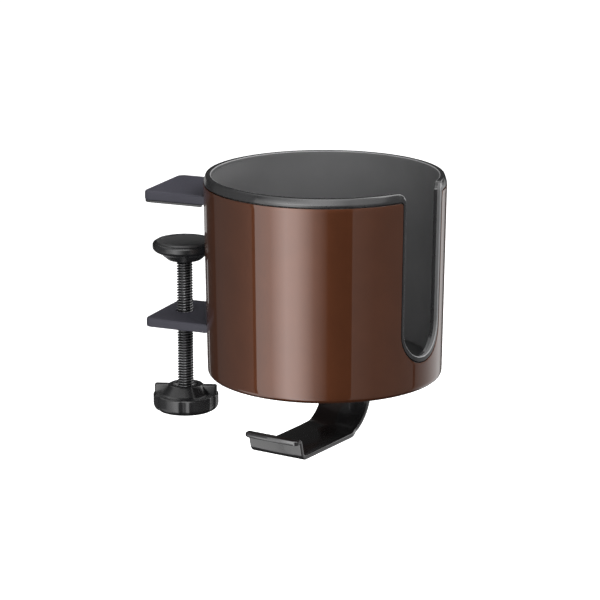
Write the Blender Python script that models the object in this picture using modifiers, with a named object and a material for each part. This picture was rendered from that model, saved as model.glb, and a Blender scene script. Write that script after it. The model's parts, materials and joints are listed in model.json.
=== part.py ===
"""Desk clamp cup holder: a steel cup with a moulded liner, carried by a screw clamp, with a
headphone hook that swivels under the cup.

Units are metres. +Z is up and z = 0 is the face of the upper jaw that rests on the desk top.
The clamp screw turns on the Z axis through the origin. The cup stands off the desk edge, towards
-Y, and the desk enters the clamp's mouth from +Y.
"""

import math

import bmesh
import bpy
from mathutils import Matrix, Vector

# ---- driving dimensions -------------------------------------------------------------------
FIT = 0.0003             # clearance between pieces that are let into each other
SEAT = 0.0001            # clearance between flat faces that rest on each other

CUP_REACH = 0.0553       # from the clamp screw's axis to the cup's axis
RIM_Z = 0.01275          # top of the liner's lip
CUP_HEIGHT = 0.0726      # from the lip's top to the underside of the cup
LIP_RADIUS = 0.0430
LIP_HEIGHT = 0.0033
SHELL_RADIUS_TOP = 0.04305
SHELL_RADIUS_BOTTOM = 0.04195
SHELL_WALL = 0.0010
SHELL_FILLET = 0.0020
LINER_WALL = 0.0014
LINER_BORE_TOP = 0.0403
LINER_FLOOR = 0.0022
MAT_THICKNESS = 0.0025

SLOT_TURN = math.radians(-12.2)      # the handle slot's direction, counted from -Y
SLOT_HALF_WIDTH = 0.0123
SLOT_BOTTOM_Z = -0.0496
SLOT_CORNER = 0.0118
SLOT_TRIM = 0.0013                   # width of the liner's trim at the slot's sides
SLOT_TRIM_FOOT = 0.0023              # and at its foot
SLOT_MOUTH_CORNER = 0.0022

STRIP = 0.0033           # thickness of the clamp frame's arms
ARM_WIDTH = 0.0310
ARM_END = 0.00915        # the arms' free ends, past the screw's axis
ARM_CORNER = 0.0030
ARM_EDGE = 0.0008        # rounding of the upper arm's top edge
JAW_PAD = 0.0008
LOWER_ARM_TOP = -0.0428
SPINE_WIDTH = 0.0160
SPINE_THICKNESS = 0.0014 # inside the cup's outline
SPINE_PROUD = 0.0003     # outside it, clear of the clamp pad
POCKET_WALL = 0.0009     # shell and liner walls behind the spine's recess
FRAME_SCREW_Z = (-0.0100, -0.0320)

THREAD_RADIUS = 0.00295  # M6
INSERT_RADIUS = 0.0050
PAD_TOP = -0.0163        # the clamp pad's face, with the clamp open for a board this thick
PAD_RADIUS = 0.0116
PAD_HEIGHT = 0.0076
PAD_TILT_DEPTH = 0.0046  # the tilting seat, below the pad's face
KNOB_TOP = -0.0707
KNOB_RADIUS = 0.0120
KNOB_HEIGHT = 0.0095
KNOB_HUB_RISE = 0.0034   # the hub and the wings, above the knob's body
KNOB_WING = 0.0026       # thickness of the two wings
KNOB_WING_TURN = math.radians(107.0)
KNOB_FLUTES = 6
KNOB_FLUTE_TURN = math.radians(22.0)
KNOB_FLUTE_DEPTH = 0.00045

HOOK_TURN = math.radians(170.4)      # the way the hook's tip points, counted from +X
HOOK_WIDTH = 0.0218
HOOK_NECK = 0.0200       # width of the back bend and the tab
HOOK_STRIP = 0.0017
HOOK_SHELF_TOP = -0.0817
HOOK_BACK = 0.0155       # from the pivot back to the upright, at the middle of the strip
HOOK_BACK_BEND = 0.0150  # bend radii, at the middle of the strip
HOOK_TAB_BEND = 0.0032
HOOK_LIP_BEND = 0.0024
HOOK_LIP_START = 0.0290  # from the pivot to the lip's bend
HOOK_LIP_RISE = 76.0     # slope of the lip, degrees
HOOK_LIP_LENGTH = 0.0040
HOOK_HEM_BEND = 0.0011
HOOK_HEM_SLOPE = 0.0    # degrees
HOOK_HEM_LENGTH = 0.0024
BOLT_RADIUS = 0.0025     # M5

CUP_BOTTOM = RIM_Z - CUP_HEIGHT
SHELL_TOP = RIM_Z - LIP_HEIGHT - SEAT
UPPER_ARM_TOP = JAW_PAD + SEAT + STRIP
LOWER_ARM_BOTTOM = LOWER_ARM_TOP - STRIP
PAD_PIVOT_Z = PAD_TOP - PAD_TILT_DEPTH
CUP_AXIS = Vector((0.0, -CUP_REACH, 0.0))

COARSE, MEDIUM, FINE = 24, 36, 72    # sides of small, middling and large turned pieces

COLOURS = {                          # base colour, roughness, metallic
    "brown_paint": ((0.115, 0.045, 0.028), 0.22, 0.55),
    "liner_plastic": ((0.075, 0.075, 0.078), 0.42, 0.0),
    "frame_paint": ((0.075, 0.074, 0.084), 0.38, 0.3),
    "black_paint": ((0.012, 0.012, 0.013), 0.25, 0.2),
    "black_plastic": ((0.030, 0.030, 0.032), 0.45, 0.0),
    "rubber": ((0.022, 0.022, 0.023), 0.75, 0.0),
    "black_steel": ((0.045, 0.045, 0.047), 0.32, 0.9),
    "zinc_steel": ((0.62, 0.63, 0.65), 0.30, 1.0),
    "nylon": ((0.80, 0.79, 0.74), 0.50, 0.0),
}


# ---- scene and helpers --------------------------------------------------------------------
def clear_scene():
    for thing in list(bpy.data.objects):
        bpy.data.objects.remove(thing, do_unlink=True)


def collection(name):
    group = bpy.data.collections.new(name)
    bpy.context.scene.collection.children.link(group)
    return group


def material(name):
    colour, roughness, metallic = COLOURS[name]
    made = bpy.data.materials.get(name) or bpy.data.materials.new(name)
    made.use_nodes = True
    shader = made.node_tree.nodes["Principled BSDF"]
    shader.inputs["Base Color"].default_value = (*colour, 1.0)
    shader.inputs["Roughness"].default_value = roughness
    shader.inputs["Metallic"].default_value = metallic
    return made


def add_object(name, mesh, finish, place=(0.0, 0.0, 0.0)):
    """A real piece when it has a finish, or else a cutter."""
    thing = bpy.data.objects.new(name, mesh)
    thing.location = place
    if finish is None:
        CUTTERS.objects.link(thing)
        thing.hide_render = True
        thing.display_type = "WIRE"
    else:
        PARTS.objects.link(thing)
        thing.data.materials.append(material(finish))
    return thing


def axis_empty(name, place):
    empty = bpy.data.objects.new(name, None)
    empty.location = place
    PARTS.objects.link(empty)
    return empty


def parent_to(empty, *pieces):
    for piece in pieces:
        piece.parent = empty


def turned(name, profile, sides, finish, place=(0.0, 0.0, 0.0), closed=False):
    """Turn a profile of (radius, z) about Z. It runs down the outer side; closed makes a ring."""
    mesh = bpy.data.meshes.new(name)
    count = len(profile)
    edges = [(i, i + 1) for i in range(count - 1)]
    if closed:
        edges.append((count - 1, 0))
    mesh.from_pydata([(r, 0.0, z) for r, z in profile], edges, [])
    thing = add_object(name, mesh, finish, place)
    screw = thing.modifiers.new("Turn", "SCREW")
    screw.axis = "Z"
    screw.angle = math.tau
    screw.steps = sides
    screw.render_steps = sides
    screw.use_merge_vertices = True
    screw.merge_threshold = 0.000001
    screw.use_smooth_shade = True
    return thing


def flat_piece(name, outline, thickness, finish, place=(0.0, 0.0, 0.0), lay=None):
    """An outline in XY, thickness deep about its plane, then laid by the matrix lay."""
    curve = bpy.data.curves.new(name, "CURVE")
    curve.dimensions = "2D"
    curve.fill_mode = "BOTH"
    curve.extrude = thickness / 2
    spline = curve.splines.new("POLY")
    spline.points.add(len(outline) - 1)
    for point, (x, y) in zip(spline.points, outline):
        point.co = (x, y, 0.0, 1.0)
    spline.use_cyclic_u = True
    drawn = bpy.data.objects.new(name + "_outline", curve)
    bpy.context.scene.collection.objects.link(drawn)
    evaluated = drawn.evaluated_get(bpy.context.evaluated_depsgraph_get())
    mesh = bpy.data.meshes.new_from_object(evaluated)
    bpy.data.objects.remove(drawn, do_unlink=True)
    work = bmesh.new()
    work.from_mesh(mesh)
    bmesh.ops.remove_doubles(work, verts=work.verts, dist=0.000001)
    if lay is not None:
        bmesh.ops.transform(work, matrix=lay, verts=work.verts)
    bmesh.ops.recalc_face_normals(work, faces=work.faces)
    work.to_mesh(mesh)
    work.free()
    return add_object(name, mesh, finish, place)


def block(name, low, high, finish=None, turn=0.0, place=(0.0, 0.0, 0.0)):
    """A box from corner low to corner high, turned about Z at place."""
    mesh = bpy.data.meshes.new(name)
    work = bmesh.new()
    bmesh.ops.create_cube(work, size=1.0)
    size = Vector(high) - Vector(low)
    centre = (Vector(high) + Vector(low)) / 2
    shape = Matrix.Rotation(turn, 4, "Z") @ Matrix.Translation(centre) @ Matrix.Diagonal((*size, 1.0))
    bmesh.ops.transform(work, matrix=shape, verts=work.verts)
    work.to_mesh(mesh)
    work.free()
    return add_object(name, mesh, finish, place)


def cylinder(name, radius, bottom, top, sides, finish=None, place=(0.0, 0.0, 0.0), lay=None, turn=0.0):
    mesh = bpy.data.meshes.new(name)
    work = bmesh.new()
    stand = Matrix.Translation((0.0, 0.0, (bottom + top) / 2)) @ Matrix.Rotation(turn, 4, "Z")
    bmesh.ops.create_cone(
        work, cap_ends=True, segments=sides, radius1=radius, radius2=radius, depth=top - bottom,
        matrix=(lay or Matrix.Identity(4)) @ stand,
    )
    work.to_mesh(mesh)
    work.free()
    return add_object(name, mesh, finish, place)


def boolean(piece, other, operation="DIFFERENCE"):
    step = piece.modifiers.new(operation.title(), "BOOLEAN")
    step.operation = operation
    step.object = other
    step.solver = "EXACT"


def bevel(piece, width, segments=2, angle=40.0):
    step = piece.modifiers.new("Edges", "BEVEL")
    step.width = width
    step.segments = segments
    step.limit_method = "ANGLE"
    step.angle_limit = math.radians(angle)


def arc(centre, radius, start, end, steps):
    """Points on a circle from start to end, in degrees, both ends included."""
    points = []
    for i in range(steps + 1):
        angle = math.radians(start + (end - start) * i / steps)
        points.append((centre[0] + radius * math.cos(angle), centre[1] + radius * math.sin(angle)))
    return points


def shell_radius(z):
    """The cup's outer radius, which tapers from the lip to the underside."""
    share = (SHELL_TOP - z) / (SHELL_TOP - CUP_BOTTOM)
    return SHELL_RADIUS_TOP + (SHELL_RADIUS_BOTTOM - SHELL_RADIUS_TOP) * share


def wall_offset(offset, bottom, top):
    """The two ends of the cup's tapered side, moved outwards by offset: top first."""
    return [(shell_radius(top) + offset, top), (shell_radius(bottom) + offset, bottom)]


def slot_prism(name, half_width, floor, corner, reach, mouth_corner=0.0):
    """A U-shaped prism through the cup's front wall, for the mug handle."""
    over = RIM_Z + 0.004
    outline = [(half_width, over)]
    if mouth_corner:
        rounding = arc((half_width + mouth_corner, RIM_Z - mouth_corner), mouth_corner, 115, 180, 4)
        x, z = rounding[0]
        outline = [(x + (over - z) * math.tan(math.radians(65)), over), *rounding]
    left = [(-x, z) for x, z in reversed(outline)]
    outline += arc((half_width - corner, floor + corner), corner, 0, -90, 8)
    outline += arc((corner - half_width, floor + corner), corner, -90, -180, 8)
    outline += left
    near, far = reach
    upright = Matrix.Rotation(SLOT_TURN, 4, "Z")
    upright = upright @ Matrix.Translation((0.0, -(near + far) / 2, 0.0)) @ Matrix.Rotation(math.pi / 2, 4, "X")
    return flat_piece(name, outline, far - near, None, CUP_AXIS, upright)


def radial_bore(name, radius, near, far, z, finish=None):
    """A cylinder that points from the cup's axis towards the clamp screw's axis."""
    lay = Matrix.Translation((0.0, 0.0, z)) @ Matrix.Rotation(-math.pi / 2, 4, "X")
    return cylinder(name, radius, near, far, COARSE, finish, CUP_AXIS, lay)


# ---- the cup ------------------------------------------------------------------------------
def spine_pocket(name, depth, margin):
    """The recess that the frame's spine lies in, on the cup's clamp side."""
    half = SPINE_WIDTH / 2 + margin
    top, bottom = UPPER_ARM_TOP + margin, LOWER_ARM_BOTTOM - margin
    outside = 0.004
    profile = wall_offset(outside, bottom, top) + list(reversed(wall_offset(-depth, bottom, top)))
    ring = turned(name, profile, FINE, None, CUP_AXIS, closed=True)
    window = block(name + "_window", (-half, 0.020, bottom - 0.01), (half, 0.060, top + 0.01), place=CUP_AXIS)
    boolean(ring, window, "INTERSECT")
    return ring


def make_cup_shell():
    fillet = arc((SHELL_RADIUS_BOTTOM - SHELL_FILLET, CUP_BOTTOM + SHELL_FILLET), SHELL_FILLET, 0, -90, 4)
    inner = SHELL_FILLET - SHELL_WALL
    inside = arc((SHELL_RADIUS_BOTTOM - SHELL_FILLET, CUP_BOTTOM + SHELL_FILLET), inner, -90, 0, 2)
    bolt_hole = BOLT_RADIUS + FIT
    profile = [(SHELL_RADIUS_TOP, SHELL_TOP), *fillet]
    profile += [(bolt_hole, CUP_BOTTOM), (bolt_hole, CUP_BOTTOM + SHELL_WALL)]
    profile += [*inside, (SHELL_RADIUS_TOP - SHELL_WALL, SHELL_TOP)]
    shell = turned("cup_shell", profile, FINE, "brown_paint", CUP_AXIS, closed=True)
    # the recess's own wall is a thicker patch behind the pocket
    patch = spine_pocket("shell_patch", SPINE_THICKNESS + FIT + POCKET_WALL, FIT + POCKET_WALL)
    trim_patch = turned(
        "shell_patch_limit",
        wall_offset(-SHELL_WALL / 2, CUP_BOTTOM + SHELL_FILLET, SHELL_TOP - SEAT)
        + list(reversed(wall_offset(-0.02, CUP_BOTTOM + SHELL_FILLET, SHELL_TOP - SEAT))),
        FINE, None, CUP_AXIS, closed=True,
    )
    boolean(patch, trim_patch, "INTERSECT")
    boolean(shell, patch, "UNION")
    boolean(shell, spine_pocket("shell_pocket", SPINE_THICKNESS + FIT, FIT))
    boolean(shell, slot_prism("shell_slot", SLOT_HALF_WIDTH, SLOT_BOTTOM_Z, SLOT_CORNER, (0.030, 0.050)))
    for i, z in enumerate(FRAME_SCREW_Z):
        boolean(shell, radial_bore(f"shell_screw_hole_{i + 1}", 0.0023, 0.030, 0.0415, z))
    return shell


def make_cup_liner():
    floor = CUP_BOTTOM + SHELL_WALL + SEAT
    outer_offset = -SHELL_WALL - FIT
    inner_offset = outer_offset - LINER_WALL
    lip_bottom = SHELL_TOP + SEAT
    foot = 0.0016
    outer_top, outer_foot = wall_offset(outer_offset, floor + foot, lip_bottom)
    inner_foot = (shell_radius(floor) + inner_offset, floor + LINER_FLOOR)
    bolt_opening = 0.0062
    profile = [(LINER_BORE_TOP + 0.0010, RIM_Z), (LIP_RADIUS - 0.0010, RIM_Z)]
    profile += arc((LIP_RADIUS - 0.0011, RIM_Z - 0.0011), 0.0011, 80, 0, 4)
    profile += [(LIP_RADIUS, lip_bottom), outer_top, outer_foot, (outer_foot[0] - foot, floor)]
    profile += [(bolt_opening, floor), (bolt_opening, floor + LINER_FLOOR)]
    profile += [(inner_foot[0] - 0.0015, inner_foot[1]), (inner_foot[0], inner_foot[1] + 0.0015)]
    profile += [(LINER_BORE_TOP, RIM_Z - 0.0012), (LINER_BORE_TOP + 0.0003, RIM_Z - 0.0005)]
    liner = turned("cup_liner", profile, FINE, "liner_plastic", CUP_AXIS, closed=True)

    # the trim that lines the handle slot, as thick as the whole cup wall
    bore = SHELL_WALL + FIT + LINER_WALL
    ring = turned(
        "slot_trim",
        wall_offset(-0.00005, SLOT_BOTTOM_Z - 0.001, lip_bottom + 0.0005)
        + list(reversed(wall_offset(-bore + 0.0002, SLOT_BOTTOM_Z - 0.001, lip_bottom + 0.0005))),
        FINE, None, CUP_AXIS, closed=True,
    )
    boolean(ring, slot_prism("trim_outline", SLOT_HALF_WIDTH - FIT, SLOT_BOTTOM_Z + FIT,
                             SLOT_CORNER - FIT, (0.030, 0.050)), "INTERSECT")
    boolean(liner, ring, "UNION")

    # the bulge behind the spine's recess, and the recess's clearance
    depth = SPINE_THICKNESS + 2 * FIT + POCKET_WALL
    patch = spine_pocket("liner_patch", depth + POCKET_WALL, 2 * FIT + 2 * POCKET_WALL)
    limit = turned(
        "liner_patch_limit",
        wall_offset(inner_offset + 0.0004, floor + foot, lip_bottom)
        + list(reversed(wall_offset(-0.02, floor + foot, lip_bottom))),
        FINE, None, CUP_AXIS, closed=True,
    )
    boolean(patch, limit, "INTERSECT")
    boolean(liner, patch, "UNION")
    boolean(liner, spine_pocket("liner_pocket", depth, 2 * FIT + POCKET_WALL))
    boolean(liner, slot_prism("liner_slot", SLOT_HALF_WIDTH - SLOT_TRIM, SLOT_BOTTOM_Z + SLOT_TRIM_FOOT,
                              SLOT_CORNER - SLOT_TRIM, (0.028, 0.052), SLOT_MOUTH_CORNER))
    for i, z in enumerate(FRAME_SCREW_Z):
        boolean(liner, radial_bore(f"liner_head_hole_{i + 1}", 0.0048, 0.028, 0.0415, z))
    return liner


def make_base_mat():
    bottom = CUP_BOTTOM + SHELL_WALL + SEAT + LINER_FLOOR + SEAT
    radius = shell_radius(bottom) - SHELL_WALL - FIT - LINER_WALL - 0.0022
    edge = 0.0006
    profile = [(0.0, bottom + MAT_THICKNESS), (radius - edge, bottom + MAT_THICKNESS)]
    profile += [(radius, bottom + MAT_THICKNESS - edge), (radius, bottom + edge), (radius - edge, bottom)]
    profile += [(0.0, bottom)]
    return turned("base_mat", profile, FINE, "rubber", CUP_AXIS)


# ---- the clamp frame ----------------------------------------------------------------------
def arm_outline(inset, back):
    """An arm seen from above: a strip with rounded free corners, from y = back outwards."""
    half, end, corner = ARM_WIDTH / 2 - inset, ARM_END - inset, ARM_CORNER - inset
    outline = [(half, back)]
    outline += arc((half - corner, end - corner), corner, 0, 90, 6)
    outline += arc((corner - half, end - corner), corner, 90, 180, 6)
    outline.append((-half, back))
    return outline


def cup_clearance(name, gap):
    """A solid cup shape that trims a piece to stand gap clear of the shell."""
    top, bottom = wall_offset(gap, LOWER_ARM_BOTTOM - 0.010, UPPER_ARM_TOP + 0.004)
    return turned(name, [(0.0, top[1]), top, bottom, (0.0, bottom[1])], FINE, None, CUP_AXIS)


def make_clamp_frame():
    back = -0.0200
    middle = UPPER_ARM_TOP - STRIP / 2
    frame = flat_piece("clamp_frame", arm_outline(0.0, back), STRIP, "frame_paint", (0, 0, middle))
    bevel(frame, ARM_EDGE, 3)
    lower = flat_piece("lower_arm", arm_outline(0.0, back), STRIP, None,
                       (0, 0, LOWER_ARM_TOP - STRIP / 2))
    bevel(lower, 0.0003, 1)
    boolean(frame, lower, "UNION")
    boolean(frame, cup_clearance("frame_trim", FIT))
    low, high = LOWER_ARM_BOTTOM + 0.0004, UPPER_ARM_TOP - 0.0006
    spine = turned(
        "spine",
        wall_offset(SPINE_PROUD, low, high) + list(reversed(wall_offset(-SPINE_THICKNESS, low, high))),
        FINE, None, CUP_AXIS, closed=True,
    )
    half = SPINE_WIDTH / 2
    boolean(spine, block("spine_window", (-half, 0.020, -0.1), (half, 0.060, 0.1), place=CUP_AXIS), "INTERSECT")
    boolean(frame, spine, "UNION")
    boolean(frame, cylinder("insert_hole", INSERT_RADIUS + FIT, LOWER_ARM_BOTTOM - 0.002,
                            LOWER_ARM_TOP + 0.002, MEDIUM))
    for i, z in enumerate(FRAME_SCREW_Z):
        boolean(frame, radial_bore(f"frame_screw_bore_{i + 1}", 0.0023, 0.036, 0.048, z))
    return frame


def make_jaw_pad():
    pad = flat_piece("jaw_pad", arm_outline(0.0002, -0.0200), JAW_PAD, "rubber", (0, 0, JAW_PAD / 2))
    boolean(pad, cup_clearance("jaw_pad_trim", 0.0020))
    return pad


def make_thread_insert():
    profile = [(INSERT_RADIUS, LOWER_ARM_TOP), (INSERT_RADIUS, LOWER_ARM_BOTTOM)]
    bore = THREAD_RADIUS + FIT
    profile += [(bore, LOWER_ARM_BOTTOM), (bore, LOWER_ARM_TOP)]
    return turned("thread_insert", profile, MEDIUM, "frame_paint", closed=True)


def make_frame_screw(number, z):
    """An M4 wafer-head screw, from inside the shell into the spine."""
    head_seat = shell_radius(z) - SPINE_THICKNESS - FIT - POCKET_WALL - FIT
    head, tip = 0.0013, shell_radius(z) + SPINE_PROUD - 0.0003
    profile = [(0.0, tip), (0.0016, tip), (0.0020, tip - 0.0004), (0.0020, head_seat)]
    profile += [(0.0040, head_seat), (0.0040, head_seat - 0.0007), (0.0032, head_seat - head)]
    profile += [(0.0, head_seat - head)]
    screw = turned(f"frame_screw_{number}", profile, COARSE, "black_steel", CUP_AXIS + Vector((0, 0, z)))
    screw.rotation_euler = (-math.pi / 2, 0.0, 0.0)
    hex_key = cylinder(f"frame_screw_socket_{number}", 0.00145, head_seat - head - 0.001,
                       head_seat - head + 0.0016, 6, None, screw.location)
    hex_key.rotation_euler = screw.rotation_euler
    boolean(screw, hex_key)
    return screw


# ---- the clamp screw, its pad and its knob ------------------------------------------------
def make_clamp_screw():
    """M6 screw: riveted pin in the pad at the top, hexagon head held in the knob."""
    shoulder = PAD_TOP - PAD_HEIGHT - 0.0004
    seat = PAD_TOP - 0.0034
    head_top = KNOB_TOP - 0.0044
    pin, rivet, chamfer = 0.0016, 0.0026, 0.0006
    profile = [(0.0, seat + 0.0010), (rivet - 0.0006, seat + 0.0010), (rivet, seat + 0.0006)]
    profile += [(rivet, seat + FIT), (pin, seat + FIT), (pin, shoulder)]
    profile += [(THREAD_RADIUS - chamfer, shoulder), (THREAD_RADIUS, shoulder - chamfer)]
    profile += [(THREAD_RADIUS, head_top - 0.0010), (0.0, head_top - 0.0010)]
    screw = turned("clamp_screw", profile, COARSE, "black_steel")
    head = cylinder("hex_head", 0.00577, head_top - 0.0031, head_top, 6, None)
    boolean(screw, head, "UNION")
    return screw


def make_knob():
    """A round fluted body, a conical hub and two wings that join the hub to the rim."""
    top, bottom = KNOB_TOP, KNOB_TOP - KNOB_HEIGHT
    floor = top - KNOB_HUB_RISE
    cap_seat = bottom + 0.0013
    bore = THREAD_RADIUS + FIT
    profile = [(0.0062, top), (0.0092, floor), (KNOB_RADIUS - 0.0005, floor), (KNOB_RADIUS, floor - 0.0005)]
    profile += [(KNOB_RADIUS, bottom + 0.0032)]
    profile += arc((KNOB_RADIUS - 0.0026, bottom + 0.0026), 0.0026, -5, -90, 4)
    profile += [(0.0075, bottom), (0.0075, cap_seat), (0.0020, cap_seat), (0.0020, top)]
    knob = turned("knob", profile, MEDIUM, "black_plastic", closed=True)
    reach, half = KNOB_RADIUS - 0.0005, KNOB_WING / 2
    wing_top = top - 0.0001
    wing = block("knob_wings", (-reach, -half, floor - 0.0008), (reach, half, wing_top), turn=KNOB_WING_TURN)
    bevel(wing, 0.0006)
    boolean(knob, wing, "UNION")
    hollow = [(0.0, top + 0.001), (0.0046, top + 0.001), (0.0046, top - 0.0006), (bore, top - 0.0014)]
    hollow += [(bore, cap_seat - 0.0005), (0.0, cap_seat - 0.0005)]
    boolean(knob, turned("knob_bore", hollow, COARSE, None))
    boolean(knob, cylinder("hex_pocket", 0.00612, cap_seat - 0.001, top - 0.0041, 6))
    radius = 0.0055
    centre = KNOB_RADIUS + radius - KNOB_FLUTE_DEPTH
    for i in range(KNOB_FLUTES):
        turn = KNOB_FLUTE_TURN + math.tau * i / KNOB_FLUTES
        place = (centre * math.cos(turn), centre * math.sin(turn), 0.0)
        boolean(knob, cylinder(f"knob_flute_{i + 1}", radius, bottom - 0.001, floor + 0.0005, FINE, None, place))
    return knob


def make_knob_cap():
    bottom = KNOB_TOP - KNOB_HEIGHT
    profile = [(0.0, bottom + 0.0010), (0.0071, bottom + 0.0010), (0.0071, bottom + 0.0003)]
    profile += [(0.0066, bottom - 0.0001), (0.0, bottom - 0.0001)]
    return turned("knob_cap", profile, MEDIUM, "black_plastic")


def make_pad_washer():
    top = PAD_TOP - 0.0034 - PAD_PIVOT_Z
    profile = [(0.0044, top), (0.0044, top - 0.0008), (0.0019, top - 0.0008), (0.0019, top)]
    return turned("pad_washer", profile, COARSE, "zinc_steel", closed=True)


def make_swivel_pad():
    """The dished pad, drawn from the tilting seat's centre."""
    top = PAD_TOP - PAD_PIVOT_Z
    outer = [(0.0105, -0.0004), (0.0111, -0.0004), (PAD_RADIUS, -0.0010), (PAD_RADIUS, -0.0029)]
    outer += [(0.0109, -0.0038), (0.0086, -0.0050), (0.0072, -0.0062), (0.0062, -0.0071), (0.0046, -PAD_HEIGHT)]
    inner = [(0.0021, -PAD_HEIGHT), (0.0021, -PAD_TILT_DEPTH), (0.0052, -PAD_TILT_DEPTH)]
    inner += [(0.0052, -0.0021), (0.0105, -0.0021)]
    profile = [(r, top + z) for r, z in outer + inner]
    return turned("swivel_pad", profile, MEDIUM, "black_plastic", closed=True)


def make_pad_face():
    top = PAD_TOP - PAD_PIVOT_Z
    profile = [(0.0, top), (0.0098, top), (0.0102, top - 0.0004), (0.0102, top - 0.0018), (0.0, top - 0.0018)]
    return turned("pad_face", profile, MEDIUM, "rubber")


# ---- the headphone hook and its pivot -----------------------------------------------------
def hook_stack():
    """Heights of the pivot's stack under the cup, top to bottom: (name, top, bottom)."""
    layers = (("pivot_washer_top", 0.0010), ("hook", HOOK_STRIP), ("wave_washer", 0.0009),
              ("pivot_washer_bottom", 0.0008), ("pivot_nut", 0.0040))
    z = CUP_BOTTOM - SEAT
    stack = {}
    for name, thickness in layers:
        stack[name] = (z, z - thickness)
        z -= thickness + SEAT
    return stack


def bent_strip(start, heading, moves, half):
    """The side view of a bent strip. A move is (length,) or (radius at the middle, degrees turned)."""
    x, z = start
    line = [(x, z, heading)]
    for move in moves:
        steps = 1 if len(move) == 1 else max(3, round(abs(move[1]) / 8))
        for _ in range(steps):
            turn = 0.0 if len(move) == 1 else move[1] / steps
            chord = move[0] if len(move) == 1 else 2 * move[0] * math.sin(math.radians(abs(turn)) / 2)
            way = math.radians(heading + turn / 2)
            x, z = x + chord * math.cos(way), z + chord * math.sin(way)
            heading += turn
            line.append((x, z, heading))
    outline = []
    for side, run in ((half, line), (-half, reversed(line))):
        for x, z, way in run:
            outline.append((x - side * math.sin(math.radians(way)), z + side * math.cos(math.radians(way))))
    return outline


def hook_side_outline(tab_middle):
    """The hook's side view: tab, back bend, shelf, lip and hem, as one closed outline."""
    tab_length = HOOK_NECK / 2 + HOOK_BACK - HOOK_TAB_BEND
    shelf = HOOK_SHELF_TOP - HOOK_STRIP / 2
    upright = tab_middle - HOOK_TAB_BEND - shelf - HOOK_BACK_BEND
    moves = [(tab_length,), (HOOK_TAB_BEND, 90), (upright,), (HOOK_BACK_BEND, 90)]
    moves += [(HOOK_LIP_START + HOOK_BACK - HOOK_BACK_BEND,), (HOOK_LIP_BEND, HOOK_LIP_RISE)]
    moves += [(HOOK_LIP_LENGTH,), (HOOK_HEM_BEND, HOOK_HEM_SLOPE - HOOK_LIP_RISE), (HOOK_HEM_LENGTH,)]
    return bent_strip((HOOK_NECK / 2, tab_middle), 180.0, moves, HOOK_STRIP / 2)


def make_hook(stack):
    top, bottom = stack["hook"]
    # outline x is along the hook and outline y is up: stand it up, then turn it to the tip's way
    flat_turn = Matrix.Rotation(HOOK_TURN, 4, "Z")
    upright = flat_turn @ Matrix.Rotation(math.pi / 2, 4, "X")
    outline = hook_side_outline((top + bottom) / 2)
    hook = flat_piece("headphone_hook", outline, HOOK_WIDTH, "black_paint", CUP_AXIS, upright)
    half = HOOK_NECK / 2
    shoulder = [(-0.0020, -0.090), (-0.0020, -0.0700), (0.0150, -0.0700), (0.0150, -0.055)]
    shoulder += [(-0.0300, -0.055), (-0.0300, -0.090)]
    for i, side in enumerate((half + 0.002, -half - 0.002)):
        lay = flat_turn @ Matrix.Translation((0.0, side, 0.0)) @ Matrix.Rotation(math.pi / 2, 4, "X")
        boolean(hook, flat_piece(f"hook_neck_cutter_{i + 1}", shoulder, 0.004, None, CUP_AXIS, lay))
    corner = [(0.0, -half - 0.002), (half + 0.003, -half - 0.002)]
    corner += [(half + 0.003, half + 0.002), (0.0, half + 0.002)]
    corner += arc((0.0, 0.0), half, 90, -90, 16)
    lay = Matrix.Translation((0.0, 0.0, (top + bottom) / 2)) @ flat_turn
    boolean(hook, flat_piece("tab_end_cutter", corner, 0.006, None, CUP_AXIS, lay))
    boolean(hook, cylinder("hook_hole", BOLT_RADIUS + FIT, bottom - 0.003, top + 0.003, COARSE, None, CUP_AXIS))
    return hook


def make_ring(name, outer, inner, span, sides, finish):
    top, bottom = span
    return turned(name, [(outer, top), (outer, bottom), (inner, bottom), (inner, top)], sides, finish,
                  CUP_AXIS, closed=True)


def make_wave_washer(span):
    """A spring washer with three waves, which holds the hook where it is turned to."""
    top, bottom = span
    sheet = 0.0004
    ring = make_ring("wave_washer", 0.0050, 0.0029, (bottom + sheet, bottom), MEDIUM, "zinc_steel")
    mesh = bpy.data.meshes.new_from_object(ring.evaluated_get(bpy.context.evaluated_depsgraph_get()))
    ring.modifiers.clear()
    rise = (top - bottom) - sheet
    for vertex in mesh.vertices:
        angle = math.atan2(vertex.co.y, vertex.co.x)
        vertex.co.z += rise * (0.5 + 0.5 * math.cos(3 * angle))
    ring.data = mesh
    return ring


def make_pivot_bolt(stack):
    """M5 low-head bolt, from the shell's floor down through the hook."""
    seat = CUP_BOTTOM + SHELL_WALL + SEAT
    tip = stack["pivot_nut"][1] - 0.0006
    head = 0.0020
    profile = [(0.0, seat + head), (0.0038, seat + head), (0.0050, seat + 0.0008), (0.0050, seat)]
    profile += [(BOLT_RADIUS, seat), (BOLT_RADIUS, tip + 0.0005), (BOLT_RADIUS - 0.0005, tip), (0.0, tip)]
    bolt = turned("pivot_bolt", profile, COARSE, "zinc_steel", CUP_AXIS)
    boolean(bolt, cylinder("bolt_socket", 0.0017, seat + 0.0008, seat + head + 0.001, 6, None, CUP_AXIS))
    return bolt


def make_pivot_nut(span):
    top, bottom = span
    collar = bottom + 0.0012
    nut = cylinder("pivot_nut", 0.00462, collar, top, 6, "zinc_steel", CUP_AXIS)
    boolean(nut, cylinder("nut_collar", 0.0036, bottom, collar + 0.0004, COARSE, None, CUP_AXIS), "UNION")
    boolean(nut, cylinder("nut_bore", BOLT_RADIUS + FIT, bottom - 0.001, top + 0.001, COARSE, None, CUP_AXIS))
    return nut


# ---- the whole object ---------------------------------------------------------------------
clear_scene()
PARTS = collection("desk_clamp_cup_holder")
CUTTERS = collection("cutters")

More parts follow.
